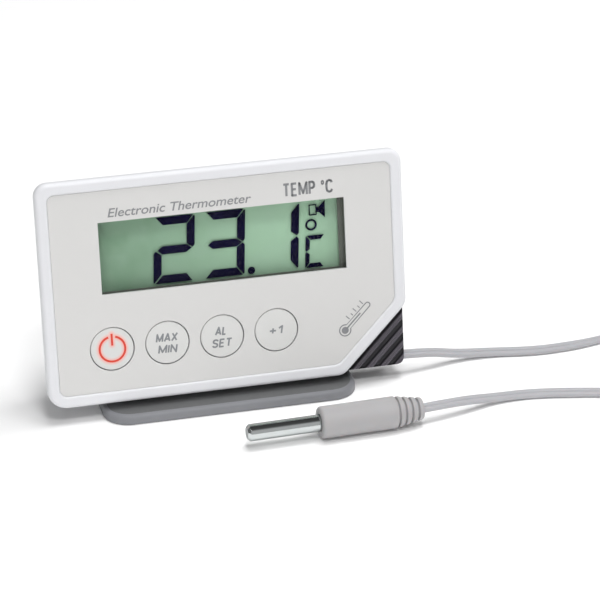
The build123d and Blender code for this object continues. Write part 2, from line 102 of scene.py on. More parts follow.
half_width = (cover_right - cover_left) / 2
half_height = (cover_top - cover_bottom) / 2
label_low, label_high = extent("face_label")
rim_width = half_width - label_high.x
lens_low, lens_high = extent("window_lens")

# ---------------------------------------------------------------- camera

camera_aim = Vector((22.41, -8.74, 28.87))
camera_distance = 868.4
camera_turn = math.radians(14.476)
camera_height = math.radians(26.272)
camera_lens = 176.6

camera = bpy.data.objects.new("camera", bpy.data.cameras.new("camera"))
bpy.context.scene.collection.objects.link(camera)
looking = Vector((
    math.sin(camera_turn) * math.cos(camera_height),
    math.cos(camera_turn) * math.cos(camera_height),
    -math.sin(camera_height),
))
camera.location = (camera_aim - looking * camera_distance) * MM
camera.rotation_euler = looking.to_track_quat("-Z", "Y").to_euler()
camera.data.lens = camera_lens
camera.data.clip_end = 20  # metres
bpy.context.scene.camera = camera

# ---------------------------------------------------------------- materials


def feed(tree, sockets, values):
    """Give each socket a value, or a link from another socket."""
    for socket, value in zip(sockets, values):
        if isinstance(value, bpy.types.NodeSocket):
            tree.links.new(value, socket)
        else:
            socket.default_value = value


def node(tree, kind, settings=None, **inputs):
    """Add a node; inputs are values or sockets, with _ for a space in a name."""
    made = tree.nodes.new("ShaderNode" + kind)
    for name, value in (settings or {}).items():
        setattr(made, name, value)
    feed(tree, [made.inputs[name.replace("_", " ")] for name in inputs], inputs.values())
    return made


def maths(tree, operation, first, second=0.0):
    """The output of a maths node on two values or sockets."""
    made = node(tree, "Math", {"operation": operation})
    feed(tree, made.inputs, (first, second))
    return made.outputs[0]


def along_axis(tree, origin, direction):
    """Millimetres from an origin along a unit direction, both in the world."""
    place = node(tree, "TexCoord")
    offset = node(tree, "VectorMath", {"operation": "SUBTRACT"})
    feed(tree, offset.inputs, (place.outputs["Object"], origin))
    dot = node(tree, "VectorMath", {"operation": "DOT_PRODUCT"})
    feed(tree, dot.inputs, (offset.outputs[0], direction / MM))
    return dot.outputs["Value"]


def grey(value):
    """An even grey as a colour with full alpha."""
    return (value, value, value, 1)


def shaded(colour, share):
    """A colour times a share of itself, with full alpha."""
    return tuple(channel * share for channel in colour[:3]) + (1,)


def new_material(name, **inputs):
    """A material with one Principled shader; returns it with its tree and shader."""
    material = bpy.data.materials.new(name)
    material.use_nodes = True
    tree = material.node_tree
    shader = next(n for n in tree.nodes if n.type == "BSDF_PRINCIPLED")
    for key, value in inputs.items():
        shader.inputs[key.replace("_", " ")].default_value = value
    return material, tree, shader


def grain(tree, size, detail=2.0, stretch=(1, 1, 1)):
    """Noise whose lumps are about this many millimetres across."""
    place = node(tree, "TexCoord")
    scaled = node(tree, "Mapping", Vector=place.outputs["Object"], Scale=stretch)
    noise = node(tree, "TexNoise", Vector=scaled.outputs[0], Scale=1 / (size * MM), Detail=detail)
    return noise.outputs["Fac"]


def between(tree, value, low, high):
    """A noise value, which mostly lies from 0.3 to 0.7, spread to lie between two numbers."""
    spread = node(tree, "MapRange", Value=value, From_Min=0.3, From_Max=0.7,
                  To_Min=low, To_Max=high)
    return spread.outputs["Result"]


def smooth_step(tree, value, start, end, low, high):
    """A value mapped smoothly from a range to a range, and held at both ends."""
    step = node(tree, "MapRange", {"interpolation_type": "SMOOTHSTEP"}, Value=value,
                From_Min=start, From_Max=end, To_Min=low, To_Max=high)
    return step.outputs["Result"]


def mixed(tree, factor, first, second):
    """A colour between two, by a factor."""
    mix = node(tree, "Mix", {"data_type": "RGBA"}, Factor=factor)
    feed(tree, mix.inputs[6:8], (first, second))
    return mix.outputs[2]


def bumped(tree, shader, heights):
    """Add bump layers, given as (height socket, depth in millimetres)."""
    normal = None
    for height, depth in heights:
        bump = node(tree, "Bump", Height=height, Distance=depth * MM, Strength=1.0)
        if normal:
            tree.links.new(normal, bump.inputs["Normal"])
        normal = bump.outputs["Normal"]
    tree.links.new(normal, shader.inputs["Normal"])


def plastic(name, colour, roughness, texture=0.35, relief=0.004, mottle=0.03, **inputs):
    """Moulded plastic: a fine eroded grain, a faint mottle and uneven gloss."""
    material, tree, shader = new_material(name, Specular_IOR_Level=0.45, **inputs)
    patches = between(tree, grain(tree, 9.0, 3.0), 0.0, 1.0)
    base = mixed(tree, patches, shaded(colour, 1 - mottle), (*colour, 1))
    fine = grain(tree, texture)
    tree.links.new(mixed(tree, between(tree, fine, 0.0, 0.25), base, shaded(colour, 0.94)),
                   shader.inputs["Base Color"])
    gloss = between(tree, grain(tree, 2.5), roughness - 0.04, roughness + 0.05)
    tree.links.new(gloss, shader.inputs["Roughness"])
    bumped(tree, shader, [(fine, relief), (grain(tree, texture * 5, 1.0), relief)])
    return material


def ink(name, colour, shine=0.3):
    """Screen-printed ink, a little uneven in cover."""
    material, tree, shader = new_material(name, Roughness=0.5, Specular_IOR_Level=shine)
    cover = between(tree, grain(tree, 0.25), 0.0, 1.0)
    tree.links.new(mixed(tree, cover, shaded(colour, 0.9), (*colour, 1)), shader.inputs["Base Color"])
    return material


def metal(name, colour, roughness, brushed=(1, 1, 1), relief=0.0006, edge=1.0):
    """Bare metal with fine lines left by polishing; edge is its mirroring when seen at a slant."""
    material, tree, shader = new_material(name, Metallic=1.0, Specular_Tint=grey(edge))
    tree.links.new(mixed(tree, between(tree, grain(tree, 4.0), 0, 1), shaded(colour, 0.94),
                         (*colour, 1)), shader.inputs["Base Color"])
    lines = grain(tree, 0.12, stretch=brushed)
    tree.links.new(between(tree, lines, roughness * 0.7, roughness * 1.3), shader.inputs["Roughness"])
    bumped(tree, shader, [(lines, relief)])
    return material


def clear_sheet(name, tint, head_on):
    """A thin clear sheet: it passes light straight through and mirrors a little.

    head_on is the share that it mirrors when seen squarely. The share is the same from within,
    because light isn't bent here and so must not be held inside.
    """
    glance_share, glance_power, haze = 0.5, 5.0, 0.08
    material = bpy.data.materials.new(name)
    material.use_nodes = True
    tree = material.node_tree
    tree.nodes.clear()
    through = node(tree, "BsdfTransparent", Color=(*tint, 1))
    mirror = node(tree, "BsdfGlossy", Color=grey(0.9), Roughness=haze)
    facing = node(tree, "LayerWeight", Blend=0.5).outputs["Facing"]
    glancing = maths(tree, "MULTIPLY", maths(tree, "POWER", facing, glance_power), glance_share)
    mix = node(tree, "MixShader", Fac=maths(tree, "ADD", glancing, head_on))
    feed(tree, mix.inputs[1:3], (through.outputs[0], mirror.outputs[0]))
    output = node(tree, "OutputMaterial")
    tree.links.new(mix.outputs[0], output.inputs["Surface"])
    return material


def display_back():
    """The display's green reflector, with painted shade to the left and painted light to the right, faintly
    clouded.
    """
    painted_shade_green, painted_light_green, hazy = (0.235, 0.385, 0.262, 1), (0.455, 0.69, 0.50, 1), (0.41, 0.585, 0.46, 1)
    painted_shade_until, painted_light_from = -37 * MM, 24 * MM
    material, tree, shader = new_material("display_green", Roughness=0.45, Specular_IOR_Level=0.2)
    place = node(tree, "TexCoord")
    split = node(tree, "SeparateXYZ", Vector=place.outputs["Object"])
    # Painted shading: the green runs from painted shade on the left to painted light on the right.
    painted_shading = mixed(tree, smooth_step(tree, split.outputs["X"], painted_shade_until, painted_light_from, 0.0, 1.0),
                   painted_shade_green, painted_light_green)
    clouds = between(tree, grain(tree, 6.0, 3.0), 0.0, 0.4)
    tree.links.new(mixed(tree, clouds, painted_shading, hazy), shader.inputs["Base Color"])
    bumped(tree, shader, [(grain(tree, 0.2), 0.004)])
    return material


housing_white = plastic("housing_white", (0.74, 0.745, 0.77), 0.36, 0.4, 0.003, 0.015)
label_grey = plastic("label_grey", (0.66, 0.655, 0.645), 0.5, 0.22, 0.003, 0.012)
key_colour = (0.67, 0.67, 0.658)
key_grey = plastic("key_grey", key_colour, 0.46, 0.25, 0.003, 0.012)
stand_grey = plastic("stand_grey", (0.22, 0.225, 0.24), 0.42, 0.4, 0.004, 0.04)
# The stand's top panel colour is painted shade: darker than the stand, for the housing's shadow on it.
stand_top_painted_shade = plastic("stand_top_painted_shade", (0.135, 0.138, 0.14), 0.5, 0.5, 0.008, 0.06)
block_black = plastic("block_black", (0.045, 0.038, 0.044), 0.5, 0.3, 0.006, 0.2)
handle_grey = plastic("handle_grey", (0.405, 0.397, 0.403), 0.48, 0.3, 0.004, 0.03,
                      Subsurface_Weight=0.08, Subsurface_Scale=0.001)
lead_grey = plastic("lead_grey", (0.43, 0.43, 0.45), 0.34, 0.5, 0.002, 0.03,
                    Subsurface_Weight=0.08, Subsurface_Scale=0.001)
frame_dark = plastic("frame_dark", (0.15, 0.16, 0.14), 0.55, 0.3, 0.004, 0.05)
seal_rubber = plastic("seal_rubber", (0.05, 0.05, 0.052), 0.6, 0.3, 0.004, 0.1)
board_green = plastic("board_green", (0.02, 0.16, 0.07), 0.4, 0.5, 0.003, 0.1)
capacitor_sleeve = plastic("capacitor_sleeve", (0.03, 0.03, 0.09), 0.35, 0.4, 0.002, 0.05)
connector_white = plastic("connector_white", (0.75, 0.74, 0.68), 0.45, 0.3, 0.003, 0.03)
cell_wrap = plastic("cell_wrap", (0.32, 0.33, 0.35), 0.3, 0.5, 0.001, 0.04)
tie_black = plastic("tie_black", (0.03, 0.03, 0.032), 0.5, 0.2, 0.006, 0.1)
bright_metal = metal("bright_metal", (0.72, 0.72, 0.70), 0.28)
probe_steel = metal("probe_steel", (0.62, 0.65, 0.65), 0.10, (0.15, 1, 1), 0.0004, 0.35)
window_clear = clear_sheet("window_clear", (0.985, 0.99, 0.985), 0.0032)
display_glass = clear_sheet("display_glass", (0.985, 0.99, 0.985), 0.0009)
display_green = display_back()
print_grey = ink("print_grey", (0.26, 0.265, 0.275))
key_print = ink("key_print", (0.25, 0.26, 0.275))
power_red = ink("power_red", (0.72, 0.07, 0.045))
segment_ink = ink("segment_ink", (0.006, 0.005, 0.03), 0.0)

finishes = {
    "housing_white": housing_white, "label_grey": label_grey, "window_clear": window_clear,
    "frame_dark": frame_dark, "display_glass": display_glass, "display_green": display_green,
    "key_grey": key_grey, "seal_rubber": seal_rubber, "board_green": board_green,
    "bright_metal": bright_metal, "capacitor_sleeve": capacitor_sleeve,
    "connector_white": connector_white, "cell_wrap": cell_wrap, "stand_grey": stand_grey,
    "block_black": block_black, "handle_grey": handle_grey, "probe_steel": probe_steel,
    "lead_grey": lead_grey, "tie_black": tie_black,
}
for cad_object in frame["nodes"].values():
    for material_slot in cad_object.material_slots:
        material_slot.material = finishes[material_slot.material.name.split(".")[0]]

# ---------------------------------------------------------------- mesh tools

weld = 0.001
axis_radius = 1e-4


def arc(centre, radius, start, end, steps=8):
    """Points along an arc, angles in degrees."""
    angles = [math.radians(start + (end - start) * i / steps) for i in range(steps + 1)]
    return [(centre[0] + radius * math.cos(a), centre[1] + radius * math.sin(a)) for a in angles]


def circle(centre, radius, steps=48):
    """Points round a circle."""
    return arc(centre, radius, 0, 360 * (1 - 1 / steps), steps - 1)


def rounded(corners, radii, steps=12):
    """A polygon's outline with each corner rounded to its radius."""
    outline = []
    count = len(corners)
    for i, radius in enumerate(radii):
        corner = Vector(corners[i])
        before = (Vector(corners[i - 1]) - corner).normalized()
        after = (Vector(corners[(i + 1) % count]) - corner).normalized()
        half = before.angle(after) / 2
        centre = corner + (before + after).normalized() * radius / math.sin(half)
        tangent = radius / math.tan(half)
        first = corner + before * tangent - centre
        last = corner + after * tangent - centre
        turn = first.angle_signed(last)
        for step in range(steps + 1):
            angle = -turn * step / steps
            outline.append(centre + Matrix.Rotation(angle, 2) @ first)
    return outline


def loft(loops, capped=True):
    """A skin over loops that have equally many points, closed at both ends."""
    shape = bmesh.new()
    rings = [[shape.verts.new(point) for point in loop] for loop in loops]
    for ring, following in zip(rings, rings[1:]):
        for i in range(len(ring)):
            shape.faces.new((ring[i - 1], ring[i], following[i], following[i - 1]))
    if capped:
        shape.faces.new(rings[0])
        shape.faces.new(reversed(rings[-1]))
    return shape


def prism(outline, low, high):
    """A flat outline raised from low to high."""
    return loft([[(*point, out) for point in outline] for out in (low, high)])


def lathe(profile, steps):
    """A shape turned about the X axis from (along, radius) points."""
    turns = [2 * math.pi * i / steps for i in range(steps)]
    loops = []
    for x, radius in profile:
        radius = max(radius, axis_radius)
        loops.append([(x, radius * math.cos(a), radius * math.sin(a)) for a in turns])
    return loft(loops)


def block(low, high):
    """A plain box, for cutting."""
    corners = [(low[0], low[1]), (high[0], low[1]), (high[0], high[1]), (low[0], high[1])]
    return prism(corners, low[2], high[2])


def peg(centre, radius, low, high):
    """A plain cylinder standing on the face, for cutting."""
    return prism(circle(centre, radius, 96), low, high)


def as_object(shape):
    """A bmesh as a plain object, outside any frame."""
    bmesh.ops.recalc_face_normals(shape, faces=shape.faces)
    mesh = bpy.data.meshes.new("work")
    shape.to_mesh(mesh)
    shape.free()
    made = bpy.data.objects.new("work", mesh)
    bpy.context.scene.collection.objects.link(made)
    return made


def settled(made):
    """The mesh of an object with its modifiers applied; the object is removed."""
    bpy.context.view_layer.update()
    evaluated = made.evaluated_get(bpy.context.evaluated_depsgraph_get())
    mesh = bpy.data.meshes.new_from_object(evaluated)
    bpy.data.objects.remove(made)
    return mesh


def carved(shape, cutters):
    """A shape with others cut out of it."""
    body = as_object(shape)
    tools = [as_object(cutter) for cutter in cutters]
    for tool in tools:
        cut = body.modifiers.new("cut", "BOOLEAN")
        cut.operation = "DIFFERENCE"
        cut.solver = "EXACT"
        cut.object = tool
    result = bmesh.new()
    result.from_mesh(settled(body))
    for tool in tools:
        bpy.data.objects.remove(tool)
    return result


def merged(shapes):
    """Several bmeshes as one."""
    result = bmesh.new()
    for shape in shapes:
        mesh = bpy.data.meshes.new("work")
        shape.to_mesh(mesh)
        shape.free()
        result.from_mesh(mesh)
        bpy.data.meshes.remove(mesh)
    return result


def piece(name, shape, place, body, material, replaced=(), crease=32):
    """Make a visible piece that rides on a body, from a bmesh in millimetres."""
    bmesh.ops.remove_doubles(shape, verts=shape.verts, dist=weld)
    bmesh.ops.recalc_face_normals(shape, faces=shape.faces)
    shape.transform(place)
    mesh = bpy.data.meshes.new(name)
    shape.to_mesh(mesh)
    shape.free()
    mesh.polygons.foreach_set("use_smooth", [True] * len(mesh.polygons))
    mesh.set_sharp_from_angle(angle=math.radians(crease))
    mesh.materials.append(material)
    made = bpy.data.objects.new(name, mesh)
    bpy.context.scene.collection.objects.link(made)
    weigh = made.modifiers.new("weighted", "WEIGHTED_NORMAL")
    weigh.keep_sharp = True
    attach(made, body)
    if replaced:
        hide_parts(*replaced)
    return made


# ---------------------------------------------------------------- housing

corner_radii = {"top": 4.0, "bottom": 5.8, "cut": 4.5, "label": 2.2}
corner_cut = 20.0
cover_depth = 3.0


def housing_loop(inset, out):
    """Outline of the housing inset all round: a rounded rectangle with one corner cut off."""
    x, y = half_width - inset, half_height - inset
    cut = corner_cut - inset * (2 - math.sqrt(2))
    share = min(inset / rim_width, 1)
    top, bottom = (corner_radii[key] * (1 - share) + corner_radii["label"] * share
                   for key in ("top", "bottom"))
    corners = [(-x, -y), (x - cut, -y), (x, -y + cut), (x, y), (-x, y)]
    outline = rounded(corners, [bottom, corner_radii["cut"], corner_radii["cut"], top, top])
    return [(*point, out) for point in outline]


lens_border = 2.0
cut_reach = 5


def window_cut(margin):
    """A block as large as the window and a margin, deep enough to cut right through."""
    inset = lens_border - margin
    return block((lens_low.x + inset, lens_low.y + inset, -cut_reach),
                 (lens_high.x - inset, lens_high.y - inset, cut_reach))


key_nodes = {"power_key": "key_power", "max_min_key": "key_max_min",
             "al_set_key": "key_al_set", "plus_key": "key_plus"}
key_radius = 6.4
key_gap = 0.25
key_centres = {}
for key_body, key_node in key_nodes.items():
    key_low, key_high = extent(key_node)
    key_centres[key_body] = (key_low + key_high) / 2

key_cuts = [(centre, key_radius + key_gap, -cut_reach, cut_reach) for centre in key_centres.values()]

outer_round = 1.3
inner_round = 0.65
back_round = 0.4
window_step = 0.5
profile = arc((back_round, -cover_depth + back_round), back_round, 270, 180, 4)
profile += arc((outer_round, -outer_round), outer_round, 180, 90, 10)
profile += arc((rim_width - inner_round, -inner_round), inner_round, 90, 0, 8)
profile.append((rim_width, label_low.z))
cover = loft([housing_loop(inset, out) for inset, out in profile])
cuts = [window_cut(window_step), block(lens_low, (lens_high.x, lens_high.y, cut_reach))]
cuts += [peg(*cut) for cut in key_cuts]
piece("cover_moulding", carved(cover, cuts), HOUSING, "housing", housing_white,
      ("front_cover",))

label_edge = 0.08
label_inset = rim_width + 0.03
label_loops = [
    housing_loop(label_inset, label_low.z),
    housing_loop(label_inset, label_high.z - label_edge),
    housing_loop(label_inset + label_edge, label_high.z),
]
cuts = [window_cut(0)] + [peg(*cut) for cut in key_cuts]
piece("printed_label", carved(loft(label_loops), cuts), HOUSING, "housing", label_grey,
      ("face_label",))

# ---------------------------------------------------------------- display

glass_low, glass_high = extent("lcd_glass")
front_glass = 0.7
segment_gap = 0.06
reflector_gap = 0.55
reflector_depth = 0.2
segment_out = glass_high.z - front_glass - segment_gap
front_plate = block((glass_low.x, glass_low.y, segment_out + segment_gap), glass_high)
piece("display_front_plate", front_plate, HOUSING, "housing", display_glass,
      ("lcd_glass",))
rear_plate = block((glass_low.x, glass_low.y, glass_low.z - reflector_depth),
                   (glass_high.x, glass_high.y, segment_out - reflector_gap))
piece("display_reflector", rear_plate, HOUSING, "housing", display_green,
      ("lcd_reflector",))

segment_thickness = 0.04
digit_size = (12.25, 19.9, 2.4)  # width, height, stroke
digit_base = -0.8
digit_slant = 0.0605
digits = {"2": -20.43, "3": -5.33, "1": 11.02}
unit_size = (5.85, 9.75, 1.3)
unit_corner = (25.35, -0.95)
point_centre = (9.07, 0.2)
point_radius = 1.1
degree_centre = (27.72, 12.05)
degree_radii = (1.75, 1.15)
alarm_horn = [(29.6, 15.7), (30.3, 15.6), (32.05, 13.9), (32.15, 19.1), (30.3, 17.3), (29.6, 17.3)]
alarm_box = [(27.2, 14.85), (29.6, 14.85), (29.6, 18.2), (27.2, 18.2)]
alarm_hollow = [(27.55, 15.2), (29.25, 15.2), (29.25, 17.85), (27.55, 17.85)]
segments_lit = {"2": "abged", "3": "abgcd", "1": "bc", "C": "afed"}


def seven_segments(width, height, stroke):
    """Outlines of a seven-segment digit's bars, by their usual letters; cuts scale with the stroke."""
    middle = height / 2
    k = stroke / digit_size[2]
    top = [(0.6 * k, height), (width - 0.55 * k, height),
           (width - 2.4 * k, height - stroke), (2.75 * k, height - stroke)]
    side = [(width, height - 0.5 * k), (width, middle + 0.9 * k), (width - 0.6 * k, middle + 0.15 * k),
            (width - stroke, middle + 1.45 * k), (width - stroke, height - stroke - 0.4 * k),
            (width - 0.3 * k, height - 0.25 * k)]
    bar = [(1.15 * k, middle), (2.6 * k, middle + stroke / 2), (width - 2.55 * k, middle + stroke / 2),
           (width - 0.85 * k, middle), (width - 2.55 * k, middle - stroke / 2),
           (2.6 * k, middle - stroke / 2)]

    def flipped(outline):
        return [(x, height - y) for x, y in outline]

    def mirrored(outline):
        return [(width - x, y) for x, y in outline]

    return {"a": top, "b": side, "c": flipped(side), "d": flipped(top),
            "e": mirrored(flipped(side)), "f": mirrored(side), "g": bar}


def slanted(outline, left, base):
    """Place a digit's outline and lean it to the right."""
    return [(left + x + digit_slant * y, base + y) for x, y in outline]


def ring_band(outer, inner, low, high):
    """A flat band between two outlines of equally many points."""
    loops = [[(*p, low) for p in outer], [(*p, high) for p in outer],
             [(*p, high) for p in inner], [(*p, low) for p in inner], [(*p, low) for p in outer]]
    return loft(loops, capped=False)


def display_segments():
    """Everything the display shows: 23.1, the unit and the alarm sign."""
    low, high = segment_out - segment_thickness / 2, segment_out + segment_thickness / 2
    bars, unit_bars = seven_segments(*digit_size), seven_segments(*unit_size)
    outlines = []
    for figure, left in digits.items():
        outlines += [slanted(bars[letter], left, digit_base) for letter in segments_lit[figure]]
    outlines += [slanted(unit_bars[letter], *unit_corner) for letter in segments_lit["C"]]
    outlines += [circle(point_centre, point_radius), alarm_horn]
    shapes = [prism(outline, low, high) for outline in outlines]
    degree_ring = [circle(degree_centre, radius) for radius in degree_radii]
    shapes.append(ring_band(*degree_ring, low, high))
    shapes.append(ring_band(alarm_box, alarm_hollow, low, high))
    return merged(shapes)


piece("display_segments", display_segments(), HOUSING, "housing", segment_ink)

# ---------------------------------------------------------------- lettering

print_height = 0.03
title_box = ((-33.6, 22.1), (8.9, 24.75))
unit_box = ((18.3, 22.5), (33.9, 26.7))
title_slant = 0.22
title_weight = 0.1
unit_pen = 0.68
legend_pen = 0.5
legend_half_height = 1.35
legend_slant = 0.17


def lettering(text, low, high, slant, bold):
    """Printed text that fills the box from low to high, as a thin bmesh at height zero."""
    curve = bpy.data.curves.new("text", "FONT")
    curve.body = text
    curve.size = 10
    curve.shear = slant
    curve.offset = bold
    curve.extrude = 0.5
    curve.resolution_u = 8
    carrier = bpy.data.objects.new("text", curve)
    bpy.context.scene.collection.objects.link(carrier)
    shape = bmesh.new()
    shape.from_mesh(settled(carrier))
    bpy.data.curves.remove(curve)
    bmesh.ops.remove_doubles(shape, verts=shape.verts, dist=weld)
    xs = [vertex.co.x for vertex in shape.verts]
    ys = [vertex.co.y for vertex in shape.verts]
    grow_x = (high[0] - low[0]) / (max(xs) - min(xs))
    grow_y = (high[1] - low[1]) / (max(ys) - min(ys))
    left, bottom = min(xs), min(ys)
    for vertex in shape.verts:
        x, y, z = vertex.co
        vertex.co = (low[0] + (x - left) * grow_x, low[1] + (y - bottom) * grow_y,
                     print_height if z > 0 else -print_height)
    return shape


# Each letter: its width, then its strokes through points in a box from 0 to 1 each way.
letter_strokes = {
    "M": (0.95, [[(0, 0), (0, 1), (0.5, 0.12), (1, 1), (1, 0)]]),
    "A": (0.88, [[(0, 0), (0.5, 1), (1, 0)], [(0.16, 0.3), (0.84, 0.3)]]),
    "X": (0.80, [[(0, 0), (1, 1)], [(0, 1), (1, 0)]]),
    "I": (0.10, [[(0.5, 0), (0.5, 1)]]),
    "N": (0.76, [[(0, 0), (0, 1), (1, 0), (1, 1)]]),
    "L": (0.58, [[(0, 1), (0, 0), (1, 0)]]),
    "S": (0.70, [[(1, 0.79), (0.86, 0.94), (0.5, 1), (0.14, 0.94), (0, 0.76), (0.12, 0.59),
                  (0.5, 0.51), (0.88, 0.42), (1, 0.25), (0.86, 0.06), (0.5, 0), (0.14, 0.06),
                  (0, 0.21)]]),
    "E": (0.64, [[(1, 1), (0, 1), (0, 0), (1, 0)], [(0, 0.52), (0.86, 0.52)]]),
    "T": (0.76, [[(0, 1), (1, 1)], [(0.5, 1), (0.5, 0)]]),
    "P": (0.66, [[(0, 0), (0, 1), (0.62, 1), (0.9, 0.92), (1, 0.74), (0.9, 0.56), (0.62, 0.48),
                  (0, 0.48)]]),
    "C": (0.74, [[(1, 0.78), (0.86, 0.94), (0.5, 1), (0.14, 0.92), (0, 0.7), (0, 0.3), (0.14, 0.08),
                  (0.5, 0), (0.86, 0.06), (1, 0.22)]]),
    "°": (0.36, [[(0, 0.85), (0.15, 0.96), (0.5, 1), (0.85, 0.96), (1, 0.85), (0.85, 0.74),
                  (0.5, 0.7), (0.15, 0.74), (0, 0.85)]]),
    "+": (0.72, [[(0, 0.44), (1, 0.44)], [(0.5, 0.09), (0.5, 0.79)]]),
    "1": (0.40, [[(0, 0.74), (1, 1), (1, 0)]]),
    " ": (0.30, []),
}


def stroke_letters(text, low, high, line, slant=0.0):
    """Plain letters drawn with an even stroke, filling the box from low to high.

    The gap between letters is in the unit of their widths, and the degree ring has a thinner pen.
    """
    low, high = Vector(low), Vector(high)
    size = high - low
    gap = 0.2
    thin = 0.6
    total = sum(letter_strokes[letter][0] for letter in text) + gap * (len(text) - 1)
    scale = (size.x - line) / total
    shapes = []
    start = low.x + line / 2
    for letter in text:
        width, paths = letter_strokes[letter]
        pen = line * thin if letter == "°" else line
        inner = max(width * scale - line / 2, 0)
        for path in paths:
            points = [Vector((start + u * inner, low.y + line / 2 + v * (size.y - line)))
                      for u, v in path]
            points = [Vector((x + slant * (y - low.y - size.y / 2), y)) for x, y in points]
            for a, b in zip(points, points[1:]):
                side = Vector((a.y - b.y, b.x - a.x)).normalized() * pen / 2
                shapes.append(prism([a - side, b - side, b + side, a + side],
                                    -print_height, print_height))
            for bend in points[1:-1]:
                shapes.append(prism(circle(bend, pen / 2, 12), -print_height, print_height))
        start += (width + gap) * scale
    return merged(shapes)


def on_label(shape):
    """Lay a print on the label."""
    bmesh.ops.translate(shape, verts=shape.verts, vec=(0, 0, label_high.z))
    return shape


title = on_label(lettering("Electronic Thermometer", *title_box, title_slant, title_weight))
piece("title_print", title, HOUSING, "housing", print_grey)
unit = on_label(stroke_letters("TEMP °C", *unit_box, unit_pen))
piece("unit_print", unit, HOUSING, "housing", print_grey)


def thermometer_sign():
    """A small outline of a stem thermometer, lying along the cut corner."""
    stem, bulb, length, line = 0.95, 1.9, 11.0, 0.36
    column_start, column_length, column_half = 0.6, 5.2, 0.22
    ticks, tick_start, tick_pitch = 5, 1.6, 1.5
    tick_gap, tick_width, tick_lengths = 0.35, 0.3, (1.5, 0.9)
    sign_place, sign_turn = (35.4, -19.9, label_high.z), 45
    meeting = math.degrees(math.asin(stem / bulb))
    reach_out = bulb * math.cos(math.radians(meeting))

    def outline(shrink):
        bulb_arc = arc((0, 0), bulb - shrink, meeting, 360 - meeting, 32)
        tip = arc((length - stem, 0), stem - shrink, -90, 90, 12)
        return bulb_arc + tip

    low, high = -print_height, print_height
    shapes = [ring_band(outline(0), outline(line), low, high)]
    shapes.append(prism(circle((0, 0), bulb - 2 * line - 0.1, 32), low, high))
    column_end = reach_out + column_length
    column = [(column_start, -column_half), (column_end, -column_half),
              (column_end, column_half), (column_start, column_half)]
    shapes.append(prism(column, low, high))
    for tick in range(ticks):
        start = reach_out + tick_start + tick * tick_pitch
        foot = stem + tick_gap
        end, tip = start + tick_width, foot + tick_lengths[tick % 2]
        shapes.append(prism([(start, foot), (end, foot), (end, tip), (start, tip)], low, high))
    sign = merged(shapes)
    sign.transform(Matrix.Translation(sign_place)
                   @ Matrix.Rotation(math.radians(sign_turn), 4, "Z"))
    return sign


piece("thermometer_sign", thermometer_sign(), HOUSING, "housing", print_grey)

# ---------------------------------------------------------------- keys

key_sunk = 0.35
key_crown = 0.3
key_edge = 0.35
power_ring = 3.78
power_bar = (1.1, 4.65)
power_pen = 0.62


def crown_out(distance):
    """Height of a key's domed top at this distance from its middle."""
    return -key_sunk - key_crown * (distance / key_radius) ** 2


def key_shape(centre):
    """A round key: domed top, rounded rim, skirt, flange and stem."""
    flange_low, flange_high, flange_radius, stem_radius = -3.9, -3.2, 7.2, 1.6
    stem_low = -7.4
    top_radius = key_radius - key_edge
    edge_out = crown_out(top_radius)
    dome = [(crown_out(r), r) for r in [key_radius * i / 12 for i in range(12)] if r < top_radius]
    turn = [(edge_out - key_edge + key_edge * math.cos(a), top_radius + key_edge * math.sin(a))
            for a in [math.pi / 2 * i / 6 for i in range(7)]]
    rest = [(flange_high, key_radius), (flange_high, flange_radius), (flange_low, flange_radius),
            (flange_low, stem_radius), (stem_low, stem_radius), (stem_low, 0)]
    shape = lathe(dome + turn + rest, 128)
    stand_up = Matrix(((0, 0, 1), (0, 1, 0), (1, 0, 0))).to_4x4()
    shape.transform(Matrix.Translation((centre.x, centre.y, 0)) @ stand_up)
    return shape


def on_key(shape, centre):
    """Lay a print, drawn round the key's middle, on the dome."""
    for vertex in shape.verts:
        x, y, z = vertex.co
        vertex.co = (centre.x + x, centre.y + y, crown_out(math.hypot(x, y)) + z)
    return shape


def power_sign():
    """A broken ring with a bar in its gap."""
    gap, half, steps = 16, power_pen / 2, 5
    outer = arc((0, 0), power_ring + half, 90 + gap, 450 - gap, 56)
    inner = arc((0, 0), power_ring - half, 90 + gap, 450 - gap, 56)
    low, high = -print_height, print_height
    ring = prism(outer + inner[::-1], low, high)
    bar_low, bar_high = power_bar
    rises = [bar_low + (bar_high - bar_low) * i / steps for i in range(steps + 1)]
    bar = prism([(half, y) for y in rises] + [(-half, y) for y in reversed(rises)], low, high)
    return merged([ring, bar])


def key_legend(lines):
    """Short lines of text round a key's middle, each as (text, across, half width, up)."""
    return merged([stroke_letters(text, (across - half, up - legend_half_height),
                                  (across + half, up + legend_half_height),
                                  legend_pen, legend_slant)
                   for text, across, half, up in lines])


legends = {
    "max_min_key": [("MAX", 0.0, 3.35, 1.6), ("MIN", 0.1, 2.95, -1.9)],
    "al_set_key": [("AL", -0.2, 1.85, 1.7), ("SET", 0, 3.1, -2.0)],
    "plus_key": [("+1", -0.1, 2.2, 0)],
}


